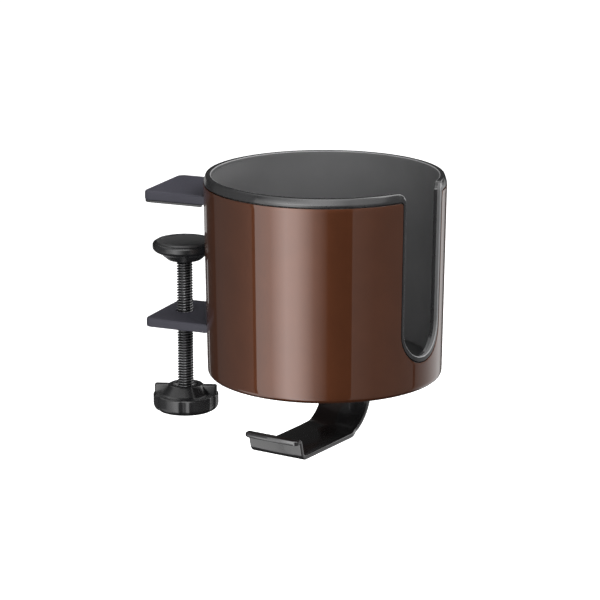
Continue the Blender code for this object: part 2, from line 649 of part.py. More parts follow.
make_cup_shell()
make_cup_liner()
make_base_mat()
make_clamp_frame()
make_jaw_pad()
make_thread_insert()
for index, height in enumerate(FRAME_SCREW_Z):
    make_frame_screw(index + 1, height)

make_clamp_screw()
make_knob()
make_knob_cap()
tilt_axis = axis_empty("pad_tilt_axis", (0.0, 0.0, PAD_PIVOT_Z))
parent_to(tilt_axis, make_pad_washer(), make_swivel_pad(), make_pad_face())

layers_under_cup = hook_stack()
make_hook(layers_under_cup)
make_ring("pivot_washer_top", 0.0085, 0.0028, layers_under_cup["pivot_washer_top"], MEDIUM, "nylon")
make_wave_washer(layers_under_cup["wave_washer"])
make_ring("pivot_washer_bottom", 0.0050, 0.0028, layers_under_cup["pivot_washer_bottom"], COARSE, "zinc_steel")
make_pivot_bolt(layers_under_cup)
make_pivot_nut(layers_under_cup["pivot_nut"])
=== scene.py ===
"""Looks of the desk clamp cup holder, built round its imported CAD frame.

Units are metres, in the CAD's frame: +Z is up, z = 0 is the clamp's upper face on the desk, the
clamp screw turns on the Z axis and the cup stands towards -Y. Sizes come from the CAD nodes'
boxes where they can, and otherwise from the dimensions named below.
"""

import json
import math

import bmesh
import bpy
from mathutils import Matrix, Vector


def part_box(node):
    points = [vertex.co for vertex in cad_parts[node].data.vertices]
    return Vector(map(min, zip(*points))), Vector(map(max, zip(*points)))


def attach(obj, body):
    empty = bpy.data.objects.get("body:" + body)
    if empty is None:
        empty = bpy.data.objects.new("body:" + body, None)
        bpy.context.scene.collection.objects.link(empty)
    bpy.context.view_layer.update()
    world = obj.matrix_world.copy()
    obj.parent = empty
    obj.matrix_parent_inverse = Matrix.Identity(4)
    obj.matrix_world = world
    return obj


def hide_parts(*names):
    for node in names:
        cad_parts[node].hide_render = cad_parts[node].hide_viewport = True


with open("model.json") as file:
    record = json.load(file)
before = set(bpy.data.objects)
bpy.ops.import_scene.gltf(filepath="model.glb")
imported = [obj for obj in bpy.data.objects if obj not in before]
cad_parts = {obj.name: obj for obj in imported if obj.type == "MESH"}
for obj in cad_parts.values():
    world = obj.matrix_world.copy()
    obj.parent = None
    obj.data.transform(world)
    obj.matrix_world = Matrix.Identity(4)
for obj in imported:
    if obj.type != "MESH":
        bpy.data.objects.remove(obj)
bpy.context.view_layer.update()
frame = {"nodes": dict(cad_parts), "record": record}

# ---- dimensions ---------------------------------------------------------------------------
MAT_LOW, MAT_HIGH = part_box("base_mat")
SHELL_LOW, SHELL_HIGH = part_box("cup_shell")
LINER_LOW, LINER_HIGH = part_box("cup_liner")
FRAME_LOW, FRAME_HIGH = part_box("clamp_frame")
SCREW_LOW, SCREW_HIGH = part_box("clamp_screw")
PAD_LOW, PAD_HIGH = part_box("swivel_pad")
FACE_LOW, FACE_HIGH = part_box("pad_face")
KNOB_LOW, KNOB_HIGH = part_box("knob")
HOOK_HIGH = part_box("headphone_hook")[1]

CUP_AXIS = Vector(((MAT_LOW.x + MAT_HIGH.x) / 2, (MAT_LOW.y + MAT_HIGH.y) / 2, 0.0))
RIM_Z, CUP_BOTTOM, SHELL_TOP = LINER_HIGH.z, SHELL_LOW.z, SHELL_HIGH.z
SHELL_RADIUS_TOP = SHELL_HIGH.x - CUP_AXIS.x
SHELL_TAPER = 0.0011          # how much narrower the cup is at its foot
SHELL_WALL = 0.0010
SHELL_FILLET = 0.0020
PIVOT_HOLE = 0.0028           # radius, in the cup's floor and in the hook
LIP_BOTTOM = SHELL_TOP + 0.0003
LIP_DEPTH = 0.00275           # from the cup's outside to the lip's inner edge
LINER_OFFSET = 0.0013         # from the cup's outside to the liner's outside
LINER_WALL = 0.0014
LINER_FLOOR = 0.0022
LINER_FILLET = 0.0022
LINER_HOLE = 0.0062           # radius, in its floor, round the pivot's nut
BULGE = 0.0011                # of the liner's wall, over the frame's spine
SPINE_HALF = 0.0080
SPINE_PROUD = 0.0003
FRAME_SCREWS = (-0.0100, -0.0320)
SCREW_HEAD_HOLE, SCREW_BORE = 0.0048, 0.0021  # radii, in the liner and in the spine

LIP_SLOPE = math.tan(math.radians(15.0))
LIP_HIGHLIGHT_FACES, SLOT_HIGHLIGHT_FACES = (10, 15), (3, 7)  # faces across the trim painted in a lighter plastic: a painted highlight line, rim and slot
SLOT_SHADE_FACES = (9, 15)           # and the slot's inner side, painted in the dark lip plastic as painted shade

SLOT_HEADING = math.radians(270.0 - 12.2)
SHELL_SLOT = {"half": 0.0123, "foot": -0.0496, "corner": 0.0010, "top": SHELL_TOP}
TRIM_CREST = {"half": 0.0110, "foot": -0.0473, "corner": 0.0030, "top": RIM_Z}
TRIM_EDGE = {"half": 0.0120, "foot": -0.0493, "corner": 0.0014, "top": LIP_BOTTOM}
LINER_SLOT = {"half": 0.0115, "foot": -0.0483, "corner": 0.0010, "top": RIM_Z - 0.0015}

STRIP = 0.0033                # the arms' thickness
ARM_HALF = FRAME_HIGH.x
ARM_END = FRAME_HIGH.y
ARM_CORNER = 0.0030
ARM_TOP_ROUND, ARM_FOOT_ROUND = 0.8, 0.35  # mm, of its upper and lower edges
ARM_ROOT_GAP = 0.00006
THREAD_PITCH = 0.0010
THREAD_CREST, THREAD_ROOT = 0.00298, 0.00228
THREAD_HIGHLIGHT_SHARE = 0.30            # share of each turn, at the crest, painted bright as a painted highlight

HOOK_HEADING = math.radians(170.4)
HOOK_WIDTH, HOOK_NECK, HOOK_STRIP = 0.0218, 0.0200, 0.0017
HOOK_SHELF_TOP = -0.0817
HOOK_BACK, HOOK_BACK_BEND, HOOK_TAB_BEND = 0.0155, 0.0150, 0.0032
HOOK_LIP_START, HOOK_LIP_BEND, HOOK_LIP_RISE, HOOK_LIP_LENGTH = 0.0290, 0.0024, 76.0, 0.0040
HOOK_HEM_BEND, HOOK_HEM_SLOPE, HOOK_HEM_LENGTH = 0.0011, 0.0, 0.0024

CAMERA_HEADING = math.radians(23.17)  # of the way the camera looks, seen from above, from +X
CAMERA_TILT = math.radians(14.52)     # downwards
CAMERA_DISTANCE = 0.9773              # along the view, to the rim's centre
CAMERA_LENS, CAMERA_SENSOR = 166.27, 36.0
RIM_RIGHT, RIM_UP = 0.008849, 0.04462  # of the rim's centre from the middle of the view


# ---- mesh helpers -------------------------------------------------------------------------
def around(angle, radius, z, centre=Vector((0.0, 0.0, 0.0))):
    return Vector((centre.x + radius * math.cos(angle), centre.y + radius * math.sin(angle), z))


def arc(centre, radius, start, end, steps):
    """Points on a circle from start to end, in degrees, both ends included."""
    points = []
    for i in range(steps + 1):
        angle = math.radians(start + (end - start) * i / steps)
        points.append((centre[0] + radius * math.cos(angle), centre[1] + radius * math.sin(angle)))
    return points


def smoothstep(low, high, value):
    share = min(1.0, max(0.0, (value - low) / (high - low)))
    return share * share * (3 - 2 * share)


def loft(rows, closed_rows=True, closed_run=False):
    """Quads between neighbouring rows of points, as (points, faces)."""
    count, faces = len(rows[0]), []
    for i in range(len(rows) if closed_run else len(rows) - 1):
        a, b = i * count, (i + 1) % len(rows) * count
        for j in range(count if closed_rows else count - 1):
            k = (j + 1) % count
            faces.append((a + j, a + k, b + k, b + j))
    return [point for row in rows for point in row], faces


def turned(profile, steps=96, centre=Vector((0.0, 0.0, 0.0)), closed=False):
    """A profile of (radius, z) turned about a vertical axis."""
    rows = [[around(math.tau * i / steps, r, z, centre) for i in range(steps)] for r, z in profile]
    return loft(rows, closed_run=closed)


def prism(outline, low, high):
    """An outline of (x, y) as a solid from low to high."""
    points = [Vector((x, y, low)) for x, y in outline] + [Vector((x, y, high)) for x, y in outline]
    count = len(outline)
    faces = [tuple(range(count))[::-1], tuple(range(count, 2 * count))]
    faces += [(i, (i + 1) % count, (i + 1) % count + count, i + count) for i in range(count)]
    return points, faces


def rounded_profile(corners, steps=4):
    """A profile whose corners, given as (radius, z, rounding), are rounded."""
    points = []
    for i, (r, z, rounding) in enumerate(corners):
        here = Vector((r, z))
        if rounding <= 0 or i in (0, len(corners) - 1):
            points.append((r, z))
            continue
        before = (Vector(corners[i - 1][:2]) - here)
        after = (Vector(corners[i + 1][:2]) - here)
        turn = before.angle(after)
        reach = min(rounding / math.tan(turn / 2), before.length * 0.49, after.length * 0.49)
        start, end = here + before.normalized() * reach, here + after.normalized() * reach
        for k in range(steps + 1):
            t = k / steps
            points.append(tuple(start * (1 - t) ** 2 + here * 2 * t * (1 - t) + end * t * t))
    return points


def moved(shape, matrix):
    points, faces = shape
    return [matrix @ Vector(p) for p in points], faces


def new_object(name, shapes):
    points, faces = [], []
    for shape_points, shape_faces in shapes:
        base = len(points)
        points += [tuple(p) for p in shape_points]
        faces += [tuple(i + base for i in face) for face in shape_faces]
    mesh = bpy.data.meshes.new(name)
    mesh.from_pydata(points, [], faces)
    work = bmesh.new()
    work.from_mesh(mesh)
    bmesh.ops.remove_doubles(work, verts=work.verts, dist=0.0000005)
    bmesh.ops.recalc_face_normals(work, faces=work.faces)
    work.to_mesh(mesh)
    work.free()
    piece = bpy.data.objects.new(name, mesh)
    bpy.context.scene.collection.objects.link(piece)
    return piece


def settle(piece):
    """Apply the piece's modifiers to its mesh."""
    graph = bpy.context.evaluated_depsgraph_get()
    graph.update()
    mesh = bpy.data.meshes.new_from_object(piece.evaluated_get(graph))
    piece.modifiers.clear()
    piece.data = mesh


def thicken(piece, thickness):
    """Give a sheet its thickness, on the inner side."""
    step = piece.modifiers.new("Thickness", "SOLIDIFY")
    step.thickness = thickness
    step.offset = -1.0
    step.use_even_offset = True
    settle(piece)


def round_edges(piece, width, segments=3, angle=50.0):
    step = piece.modifiers.new("Edges", "BEVEL")
    step.width = width
    step.segments = segments
    step.limit_method = "ANGLE"
    step.angle_limit = math.radians(angle)
    settle(piece)


def carve(piece, shape):
    """Cut a shape out of a piece."""
    cutter = new_object(piece.name + "_cutter", [shape])
    step = piece.modifiers.new("Carve", "BOOLEAN")
    step.operation = "DIFFERENCE"
    step.object = cutter
    step.solver = "EXACT"
    settle(piece)
    bpy.data.objects.remove(cutter, do_unlink=True)


def upright_bore(radius, low, high, steps, centre=Vector((0.0, 0.0, 0.0))):
    """A cutter for an upright round hole."""
    return turned([(0.0, low), (radius, low), (radius, high), (0.0, high)], steps, centre)


def level_bore(radius, start, z, steps):
    """A 20 mm cutter along +Y, level, that starts so far from the cup's axis."""
    bore = upright_bore(radius, 0.0, 0.0200, steps)
    place = Matrix.Translation(CUP_AXIS + Vector((0, start, z)))
    return moved(bore, place @ Matrix.Rotation(-math.pi / 2, 4, "X"))


def joined(name, *parts):
    """One piece made of the parts' meshes, in their order."""
    whole = new_object(name, [])
    work = bmesh.new()
    for part in parts:
        work.from_mesh(part.data)
    work.to_mesh(whole.data)
    work.free()
    for part in parts:
        bpy.data.objects.remove(part, do_unlink=True)
    return whole


def finish_piece(piece, finish, body, *nodes, sharp=32.0):
    """Give a piece its material and its shading, and put it in its CAD nodes' place."""
    mesh = piece.data
    mesh.materials.clear()
    mesh.materials.append(MATERIALS[finish])
    mesh.shade_smooth()
    mesh.set_sharp_from_angle(angle=math.radians(sharp))
    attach(piece, body)
    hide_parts(*nodes)
    return piece


# ---- materials ----------------------------------------------------------------------------
def node(tree, kind, **values):
    made = tree.nodes.new(kind)
    for key, value in values.items():
        if key in made.inputs:
            made.inputs[key].default_value = value
        else:
            setattr(made, key.lower(), value)
    return made


def surface(name, colour, roughness, variation=0.08, grain=1200.0, bump=0.02, depth=0.00002,
            mottle=90.0, roughness_spread=0.06, edge=0.0, **settings):
    """A procedural surface: mottled colour, grain in relief and roughness, and pointy edges painted
    lighter as a painted highlight.
    """
    made = bpy.data.materials.new(name)
    made.use_nodes = True
    tree = made.node_tree
    shader = tree.nodes["Principled BSDF"]
    for key, value in settings.items():
        shader.inputs[key.replace("_", " ")].default_value = value
    place = node(tree, "ShaderNodeTexCoord").outputs["Object"]
    blotch = node(tree, "ShaderNodeTexNoise", Scale=mottle, Detail=4.0, Roughness=0.55)
    fine = node(tree, "ShaderNodeTexNoise", Scale=grain, Detail=3.0, Roughness=0.6)
    tree.links.new(place, blotch.inputs["Vector"])
    tree.links.new(place, fine.inputs["Vector"])
    ramp = node(tree, "ShaderNodeValToRGB")
    dark = [max(0.0, c * (1 - variation)) for c in colour]
    light = [min(1.0, c * (1 + variation)) for c in colour]
    ramp.color_ramp.elements[0].color = (*dark, 1.0)
    ramp.color_ramp.elements[1].color = (*light, 1.0)
    ramp.color_ramp.elements[0].position = 0.35
    ramp.color_ramp.elements[1].position = 0.65
    tree.links.new(blotch.outputs["Fac"], ramp.inputs["Fac"])
    # Painted highlight: pointy edges are mixed towards a lighter colour, as far as edge says.
    edge_highlight_mix = node(tree, "ShaderNodeMix", data_type="RGBA")
    edge_highlight_ramp = node(tree, "ShaderNodeMapRange")
    edge_highlight_ramp.inputs["From Min"].default_value, edge_highlight_ramp.inputs["From Max"].default_value = 0.58, 0.72
    edge_highlight_ramp.inputs["To Max"].default_value = edge
    tree.links.new(node(tree, "ShaderNodeNewGeometry").outputs["Pointiness"], edge_highlight_ramp.inputs["Value"])
    tree.links.new(edge_highlight_ramp.outputs["Result"], edge_highlight_mix.inputs["Factor"])
    plain_colour, edge_highlight_colour = [socket for socket in edge_highlight_mix.inputs if socket.type == "RGBA"]
    tree.links.new(ramp.outputs["Color"], plain_colour)
    edge_highlight_colour.default_value = (*[0.25 + 0.6 * c for c in colour], 1.0)
    mixed = [socket for socket in edge_highlight_mix.outputs if socket.type == "RGBA"][0]
    tree.links.new(mixed, shader.inputs["Base Color"])
    spread = node(tree, "ShaderNodeMapRange")
    spread.inputs["To Min"].default_value = roughness - roughness_spread
    spread.inputs["To Max"].default_value = roughness + roughness_spread
    tree.links.new(fine.outputs["Fac"], spread.inputs["Value"])
    tree.links.new(spread.outputs["Result"], shader.inputs["Roughness"])
    relief = node(tree, "ShaderNodeBump", Strength=bump, Distance=depth)
    tree.links.new(fine.outputs["Fac"], relief.inputs["Height"])
    tree.links.new(relief.outputs["Normal"], shader.inputs["Normal"])
    return made


# The edge values paint the pointy edges lighter: a painted highlight.
MATERIALS = {
    "brown_paint": surface("brown_paint", (0.063, 0.0198, 0.0080), 0.37, 0.05, 2600.0, 0.10, 0.000006,
                           Metallic=0.62, Specular_IOR_Level=0.1, Coat_Weight=1.0, Coat_Roughness=0.02,
                           Coat_IOR=1.5),
    "liner_plastic": surface("liner_plastic", (0.055, 0.055, 0.056), 0.55, 0.04, 3500.0, 0.25, 0.000015,
                             Specular_IOR_Level=0.3),
    "lip_plastic": surface("lip_plastic", (0.014, 0.014, 0.0145), 0.17, 0.06, 3500.0, 0.10, 0.000005,
                           roughness_spread=0.03),
    # A painted highlight: the lighter colour of the lip's light line.
    "lip_painted_highlight": surface("lip_painted_highlight", (0.14, 0.14, 0.142), 0.45, 0.06, 3500.0, 0.10, 0.000005,
                        Specular_IOR_Level=0.25),
    "frame_paint": surface("frame_paint", (0.029, 0.0285, 0.0355), 0.36, 0.05, 1500.0, 0.12, 0.00001,
                           edge=0.06, Specular_IOR_Level=0.06),
    "black_paint": surface("black_paint", (0.008, 0.0078, 0.0082), 0.20, 0.10, 1400.0, 0.05, 0.000004,
                           edge=0.12, Coat_Weight=0.6, Coat_Roughness=0.08),
    "black_plastic": surface("black_plastic", (0.007, 0.007, 0.0075), 0.27, 0.10, 3000.0, 0.12,
                             0.000006, edge=0.08, Specular_IOR_Level=0.40),
    "rubber": surface("rubber", (0.009, 0.009, 0.0095), 0.55, 0.15, 2200.0, 0.35, 0.00002),
    "black_steel": surface("black_steel", (0.010, 0.010, 0.011), 0.26, 0.12, 2600.0, 0.12, 0.000006,
                           Metallic=0.5),
    # A painted highlight: the brighter steel painted on the thread's crests.
    "steel_painted_highlight": surface("steel_painted_highlight", (0.22, 0.22, 0.225), 0.30, 0.12, 2600.0, 0.12, 0.000006,
                          Metallic=0.85),
    "zinc_steel": surface("zinc_steel", (0.60, 0.61, 0.63), 0.28, 0.08, 2600.0, 0.12, 0.00001,
                          Metallic=1.0),
    "nylon": surface("nylon", (0.78, 0.77, 0.72), 0.45, 0.05, 1800.0, 0.15, 0.00002),
}


# ---- the cup ------------------------------------------------------------------------------
def cup_radius(z):
    share = min(1.0, max(0.0, (SHELL_TOP - z) / (SHELL_TOP - CUP_BOTTOM)))
    return SHELL_RADIUS_TOP - SHELL_TAPER * share


def wall_point(turn, z, offset):
    """A point on the cup's wall: turn from the slot's middle, offset outwards."""
    return around(SLOT_HEADING + turn, cup_radius(z) + offset, z, CUP_AXIS)


def slot_turn(across):
    """How far round the cup a point stands that is so far to the side of the slot's middle."""
    return math.asin(across / SHELL_RADIUS_TOP)


def wall_columns(slot, steps):
    """Columns of the wall beside the slot, as (turn, height of the top), from one edge to the other."""
    half, corner = slot["half"], slot["corner"]
    side = [(slot_turn(half + corner - corner * math.cos(math.radians(a))),
             slot["top"] - corner + corner * math.sin(math.radians(a))) for a in range(0, 91, 15)]
    first = side[-1][0]
    run = [(first + (math.tau - 2 * first) * i / steps, slot["top"]) for i in range(1, steps)]
    return side + run + [(math.tau - turn, top) for turn, top in reversed(side)]


def cup_sheet(slot, offset, floor_line, bulge=0.0, rows=30, steps=180):
    """One face of the cup: its wall with the slot, then a floor line of (radius, z)."""
    half = slot["half"]
    knee = slot["foot"] + half
    low = floor_line[0][1]
    foot = [(slot_turn(half * math.cos(math.radians(a))), knee - half * math.sin(math.radians(a)))
            for a in range(170, 5, -10)]
    columns = wall_columns(slot, steps)

    def point(turn, z):
        heading = SLOT_HEADING + turn
        side = SHELL_RADIUS_TOP * math.sin(heading - math.pi / 2)
        towards_clamp = math.cos(heading - math.pi / 2) > 0
        patch = 0.0
        if towards_clamp:
            patch = 1 - smoothstep(SPINE_HALF + 0.0008, SPINE_HALF + 0.0200, abs(side))
        patch *= smoothstep(FRAME_LOW.z - 0.0120, FRAME_LOW.z - 0.0010, z)
        patch *= 1 - smoothstep(FRAME_HIGH.z + 0.0004, FRAME_HIGH.z + 0.0104, z)
        return wall_point(turn, z, offset - bulge * patch)

    upper = [[point(turn, top + (knee - top) * i / rows) for turn, top in columns]
             for i in range(rows + 1)]
    ring = foot + [(turn, knee) for turn, _ in columns]
    lower = [[point(turn, top + (low - top) * i / 12) for turn, top in ring] for i in range(13)]
    for radius, z in floor_line[1:]:
        lower.append([around(SLOT_HEADING + turn, radius, z, CUP_AXIS) for turn, _ in ring])
    return [loft(upper, closed_rows=False), loft(lower)]


def foot_profile(radius, bottom, fillet, hole):
    """The curve from the wall into the floor, then the floor to the hole in its middle."""
    rounding = arc((radius - fillet, bottom + fillet), fillet, 0, -90, 6)
    floor = [(hole + (radius - fillet - hole) * share, bottom) for share in (0.75, 0.5, 0.25, 0.0)]
    return rounding + floor


def make_shell():
    profile = foot_profile(cup_radius(CUP_BOTTOM + SHELL_FILLET), CUP_BOTTOM, SHELL_FILLET, PIVOT_HOLE)
    shell = new_object("shell_skin", cup_sheet(SHELL_SLOT, 0.0, profile))
    thicken(shell, SHELL_WALL)
    round_edges(shell, 0.00028, 3, 55.0)
    half, margin = SPINE_HALF + 0.0003, 0.0003
    window = [(-half, -0.0200), (half, -0.0200), (half, -0.0060), (-half, -0.0060)]
    carve(shell, prism(window, FRAME_LOW.z + 0.0004 - margin, FRAME_HIGH.z - 0.0006 + margin))
    return finish_piece(shell, "brown_paint", "holder", "cup_shell", sharp=38.0)


def edge_curve(slot, steps):
    """The cup wall's whole free edge as (turn, z, share of rim): rim, slot sides and slot foot."""
    columns = wall_columns(slot, steps)
    half, corner_points = slot["half"], 7
    knee = slot["foot"] + half
    top = slot["top"] - slot["corner"]
    curve = []
    for i, (turn, z) in enumerate(columns):
        from_end = min(i, len(columns) - 1 - i)
        curve.append((turn, z, min(1.0, from_end / (corner_points - 1))))
    left = math.tau - slot_turn(half)
    curve += [(left, top + (knee - top) * i / 12, 0.0) for i in range(1, 12)]
    for a in range(180, -1, -5):
        rad = math.radians(a)
        turn = slot_turn(half * math.cos(rad))
        curve.append((math.tau + turn, knee - half * math.sin(rad), 0.0))
    right = slot_turn(half)
    curve += [(math.tau + right, knee + (top - knee) * i / 12, 0.0) for i in range(1, 12)]
    return curve


def make_liner():
    floor = LINER_LOW.z
    outer = cup_radius(floor) - LINER_OFFSET
    raised = LINER_FLOOR - LINER_WALL
    profile = foot_profile(outer, floor + raised, LINER_FILLET, LINER_HOLE)
    sheet = new_object("liner_wall", cup_sheet(LINER_SLOT, -LINER_OFFSET, profile, BULGE))
    thicken(sheet, LINER_WALL)
    for z in FRAME_SCREWS:
        carve(sheet, level_bore(SCREW_HEAD_HOLE, 0.0280, z, 48))

    crest, edge = edge_curve(TRIM_CREST, 180), edge_curve(TRIM_EDGE, 180)
    outside, inside = -0.00005, -LIP_DEPTH
    rows = []
    for (turn, z, rim), (edge_turn, edge_z, _) in zip(crest, edge):
        outer_round, inner_round = 0.00035 + 0.00055 * rim, 0.00030
        span = math.hypot((edge_turn - turn) * SHELL_RADIUS_TOP, edge_z - z)
        drop = 0.00035 + (span - 0.00090) * rim
        section = [(span, outside - 0.0005), (span - 0.00025, outside - 0.00005)]
        for a in range(0, 91, 15):
            c, t = math.cos(math.radians(a)), a / 90
            lean = (2 * t * (1 - t) * drop * LIP_SLOPE + t * t * outer_round) * rim
            section.append((drop * ((1 - t) ** 2 * rim + (1 - math.sin(math.radians(a))) * (1 - rim)),
                            outside - lean - outer_round * (1 - c) * (1 - rim)))
        section.append((0.0, outside - outer_round / 2 + (inside + inner_round) / 2))
        section += [(inner_round - inner_round * math.cos(math.radians(a)),
                     inside + inner_round - inner_round * math.sin(math.radians(a)))
                    for a in range(0, 91, 15)]
        section += [(inner_round + (span - inner_round) / 2, inside), (span, inside)]
        rows.append([wall_point(turn + (edge_turn - turn) * d / span, z + (edge_z - z) * d / span, n)
                     for d, n in section])
    trim = new_object("liner_trim", [loft(rows, closed_rows=True, closed_run=True)])
    walls = len(sheet.data.polygons)
    liner = joined("liner", sheet, trim)
    finish_piece(liner, "liner_plastic", "holder", "cup_liner", sharp=40.0)
    for finish in ("lip_plastic", "lip_painted_highlight"):
        liner.data.materials.append(MATERIALS[finish])
    points_across = len(rows[0])
    for i, face in enumerate(liner.data.polygons[walls:]):
        row, across = divmod(i, points_across)
        # Painted highlight: the faces in the highlight span take the lighter plastic, for the light
        # line along the edge.
        light = LIP_HIGHLIGHT_FACES if crest[row][2] > 0.5 else SLOT_HIGHLIGHT_FACES
        # Painted shade: on the slot, the faces of its inner side take the dark lip plastic.
        dark = across < light[0] or light is SLOT_HIGHLIGHT_FACES and SLOT_SHADE_FACES[0] <= across <= SLOT_SHADE_FACES[1]
        face.material_index = 1 if dark else 2 if across <= light[1] else 0
    return liner


def make_mat():
    radius = (MAT_HIGH.x - MAT_LOW.x) / 2
    groove, relief = 0.0030, 0.0004
    corners = [(0.0, MAT_HIGH.z, 0.0)]
    r = 0.0040
    while r + groove < radius - 0.0020:
        corners += [(r, MAT_HIGH.z, 0.0002), (r + 0.0003, MAT_HIGH.z - relief, 0.0002)]
        corners += [(r + 0.0010, MAT_HIGH.z - relief, 0.0002), (r + 0.0013, MAT_HIGH.z, 0.0002)]
        r += groove
    corners += [(radius, MAT_HIGH.z, 0.0007), (radius, MAT_LOW.z, 0.0004), (0.0, MAT_LOW.z, 0.0)]
    mat = new_object("floor_mat", [turned(rounded_profile(corners, 2), 144, CUP_AXIS)])
    return finish_piece(mat, "rubber", "holder", "base_mat")


# ---- the clamp frame ----------------------------------------------------------------------
def arm_outline(inset, root):
    """An arm from above: free corners rounded, and a hollow root of the given radius on the cup."""
    half, end, corner = ARM_HALF - inset, ARM_END - inset, ARM_CORNER - inset
    reach = math.degrees(math.asin(half / root))
    outline = arc((half - corner, end - corner), corner, 0, 90, 8)
    outline += arc((corner - half, end - corner), corner, 90, 180, 8)
    outline += arc((CUP_AXIS.x, CUP_AXIS.y), root, 90 + reach, 90 - reach, 24)
    return outline


def make_arm(name, low, high, hole):
    arm = new_object(name, [prism(arm_outline(0.0, cup_radius(high) + ARM_ROOT_GAP), low, high)])
    work = bmesh.new()
    work.from_mesh(arm.data)
    layer = work.edges.layers.float.new("bevel_weight_edge")
    for line in work.edges:
        level = abs(line.verts[0].co.z - line.verts[1].co.z) < 0.00001
        if level:
            upper = line.verts[0].co.z > (low + high) / 2
            line[layer] = ARM_TOP_ROUND if upper else ARM_FOOT_ROUND
    work.to_mesh(arm.data)
    work.free()
    step = arm.modifiers.new("Edges", "BEVEL")
    step.width = 0.001
    step.segments = 5
    step.limit_method = "WEIGHT"
    settle(arm)
    if hole:
        carve(arm, upright_bore(hole, low - 0.001, high + 0.001, 64))
    return arm


def make_frame():
    upper = make_arm("upper_arm", FRAME_HIGH.z - STRIP, FRAME_HIGH.z, 0.0)
    lower = make_arm("lower_arm", FRAME_LOW.z, FRAME_LOW.z + STRIP, THREAD_CREST + 0.0003)
    low, high = FRAME_LOW.z + 0.0004, FRAME_HIGH.z - 0.0006
    reach = math.asin(SPINE_HALF / SHELL_RADIUS_TOP)
    rows = []
    for i in range(25):
        heading = math.pi / 2 - reach + 2 * reach * i / 24
        outer, inner = cup_radius(low), cup_radius(high)
        rows.append([around(heading, inner + SPINE_PROUD, high, CUP_AXIS),
                     around(heading, outer + SPINE_PROUD, low, CUP_AXIS),
                     around(heading, outer - 0.0014, low, CUP_AXIS),
                     around(heading, inner - 0.0014, high, CUP_AXIS)])
    points, faces = loft(rows)
    count = len(points)
    faces += [(3, 2, 1, 0), (count - 4, count - 3, count - 2, count - 1)]
    spine = new_object("spine", [(points, faces)])
    round_edges(spine, 0.0003, 3, 60.0)
    for z in FRAME_SCREWS:
        carve(spine, level_bore(SCREW_BORE, 0.0360, z, 40))
    steel = joined("clamp_steel", upper, lower, spine)
    return finish_piece(steel, "frame_paint", "holder", "clamp_frame", "thread_insert", sharp=30.0)


def make_jaw_rubber():
    low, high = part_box("jaw_pad")
    outline = arm_outline(0.0002, SHELL_RADIUS_TOP + 0.0008)
    rubber = new_object("jaw_rubber", [prism(outline, low.z, high.z)])
    round_edges(rubber, 0.00018, 2, 50.0)
    return finish_piece(rubber, "rubber", "holder", "jaw_pad")


# ---- the clamp screw ----------------------------------------------------------------------
def thread_radius(phase):
    """The thread's section: a rounded crest, sloping flanks and a wider root."""
    lift = abs((phase % 1.0) - 0.5) * 2
    rise = smoothstep(0.04, 0.78, lift)
    return THREAD_CREST - (THREAD_CREST - THREAD_ROOT) * rise


def make_screw():
    top = PAD_LOW.z - 0.0004
    bottom = SCREW_LOW.z
    steps, per_turn = 40, 12
    count = round((top - bottom) / THREAD_PITCH * per_turn)
    rows = []
    for i in range(count + 1):
        z = top - (top - bottom) * i / count
        fade = smoothstep(0.0, 0.0006, top - z)
        row = []
        for k in range(steps):
            turn = math.tau * k / steps
            full = thread_radius(z / THREAD_PITCH - k / steps)
            row.append(around(turn, full - (1 - fade) * 0.0005, z))
        rows.append(row)
    seat = SCREW_HIGH.z
    pin = [(0.0, seat), (0.0020, seat), (0.0026, seat - 0.0005), (0.0026, seat - 0.0008),
           (0.0016, seat - 0.0008), (0.0016, top), (0.0022, top)]
    shapes = [loft(rows), turned(pin, 40), ([tuple(p) for p in rows[-1]], [tuple(range(steps))]),
              ([tuple(p) for p in rows[0]], [tuple(range(steps))])]
    screw = new_object("threaded_screw", shapes)
    finish_piece(screw, "black_steel", "screw", "clamp_screw", sharp=50.0)
    screw.data.materials.append(MATERIALS["steel_painted_highlight"])
    # Painted highlight: the crest share of each turn takes the brighter steel.
    for face in screw.data.polygons:
        middle = face.center
        turn = math.atan2(middle.y, middle.x) / math.tau % 1.0
        if middle.z < top and abs((middle.z / THREAD_PITCH - turn) % 1.0 - 0.5) * 2 < THREAD_HIGHLIGHT_SHARE:
            face.material_index = 1
    return screw


def make_swivel_pad():
    top = PAD_HIGH.z
    radius = PAD_HIGH.x
    foot = PAD_LOW.z
    corners = [(0.0104, top - 0.0016, 0.0), (0.0104, top - 0.0003, 0.0002),
               (0.0111, top - 0.0003, 0.0004), (radius, top - 0.0009, 0.0008),
               (radius, top - 0.0025, 0.0008), (0.0109, top - 0.0034, 0.0006),
               (0.0086, top - 0.0046, 0.0014), (0.0072, top - 0.0058, 0.0012),
               (0.0062, top - 0.0067, 0.0008), (0.0046, foot, 0.0005), (0.0021, foot, 0.0002),
               (0.0021, foot + 0.0029, 0.0), (0.0052, foot + 0.0029, 0.0),
               (0.0052, top - 0.0016, 0.0)]
    pad = new_object("clamp_pad", [turned(rounded_profile(corners, 4), 96, closed=True)])
    return finish_piece(pad, "black_plastic", "pad", "swivel_pad")


def make_pad_face():
    top, low, radius = FACE_HIGH.z, FACE_LOW.z, FACE_HIGH.x
    dish = 0.0005
    corners = [(radius * share, top - dish * (1 - share ** 2), 0.0)
               for share in (0.0, 0.2, 0.4, 0.6, 0.75)]
    corners += [(0.0083, top - 0.00016, 0.0001), (0.0084, top - 0.00034, 0.0001),
                (0.0088, top - 0.00034, 0.0001), (0.0089, top - 0.00008, 0.0001),
                (radius, top, 0.0004), (radius, low, 0.0), (0.0, low, 0.0)]
    face = new_object("clamp_pad_rubber", [turned(rounded_profile(corners, 2), 96)])
    return finish_piece(face, "rubber", "pad", "pad_face")


